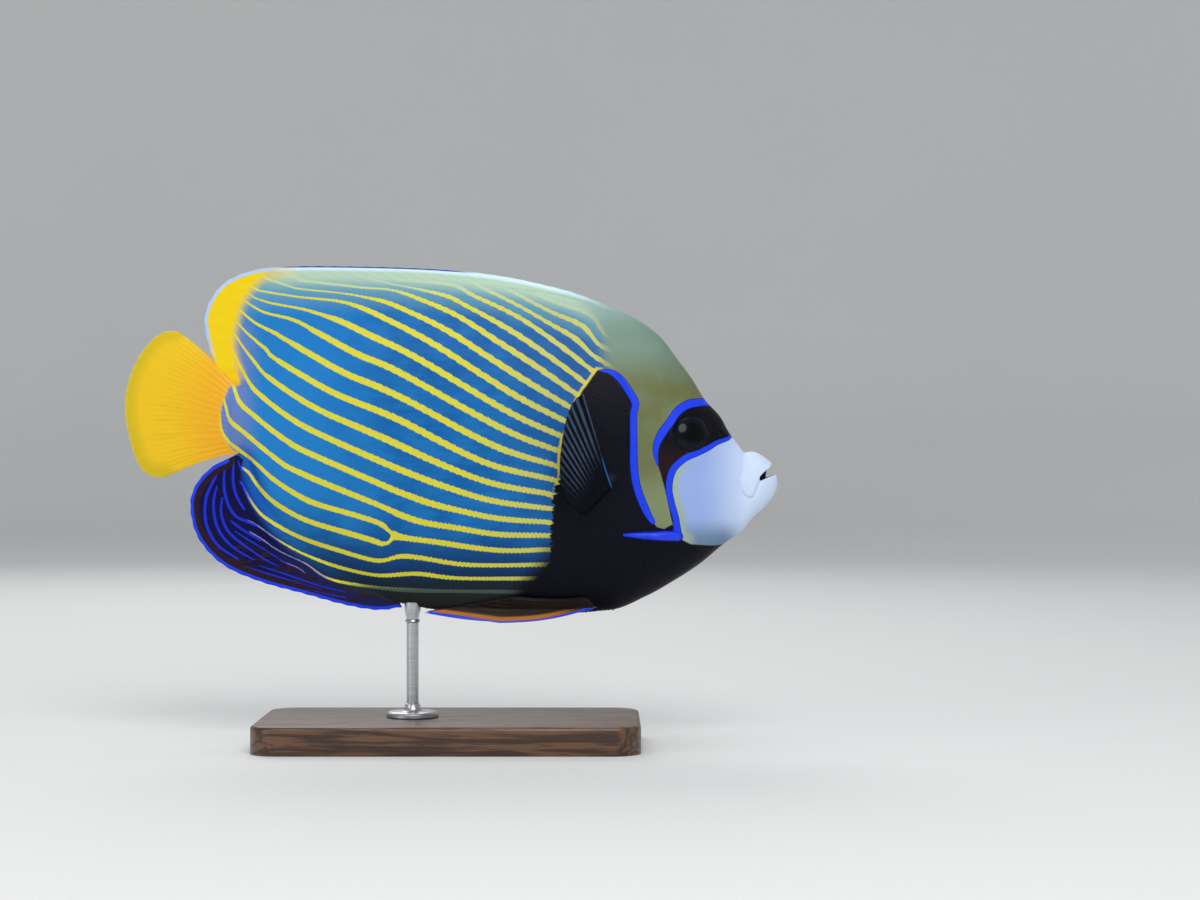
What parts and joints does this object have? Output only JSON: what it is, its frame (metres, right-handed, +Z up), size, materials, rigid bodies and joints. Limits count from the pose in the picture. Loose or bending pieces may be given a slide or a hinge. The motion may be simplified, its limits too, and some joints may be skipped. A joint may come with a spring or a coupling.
{
  "type": "emperor angelfish",
  "caption": "Still life-size reef fish: deep flat striped body with ray-ridged fins, thick lips and a cheek spine, held by a rod on a flat display base.",
  "frame": {"origin": "centre of the underside of the display base, which is also the middle of the fish's total length", "axes": "+X towards the fish's snout, +Y towards its left side, +Z up"},
  "size_m": [0.3276, 0.1, 0.2394],
  "materials": {
    "striped_skin": "scaled skin, blue with yellow stripes, satin gloss",
    "head_skin": "smooth skin, olive with black mask, blue lines and pale face, satin gloss",
    "pale_lip": "pale smooth lip skin",
    "striped_fin": "scaled fin, blue and yellow, pale rim, satin",
    "navy_fin": "navy fin with thin bright blue lines, satin",
    "yellow_fin": "orange yellow fin membrane with rays, satin",
    "clear_fin": "dark, thin, partly clear fin membrane with rays",
    "brown_fin": "dark brown fin with orange and blue lower edge",
    "eye_gloss": "wet, near black eye",
    "stand_wood": "dark oiled wood, satin",
    "stand_steel": "brushed stainless rod and foot"
  },
  "bodies": {
    "root": {"trunk": "striped_skin", "head": "head_skin", "tail_stalk": "striped_skin", "upper_jaw": "pale_lip", "lower_jaw": "pale_lip", "dorsal_fin": "striped_fin", "anal_fin": "navy_fin", "caudal_fin": "yellow_fin", "pectoral_fin_right": "clear_fin", "pectoral_fin_left": "clear_fin", "pelvic_fin_right": "brown_fin", "pelvic_fin_left": "brown_fin", "eye_right": "eye_gloss", "eye_left": "eye_gloss", "stand_base": "stand_wood", "stand_rod": "stand_steel"}
  },
  "joints": []
}
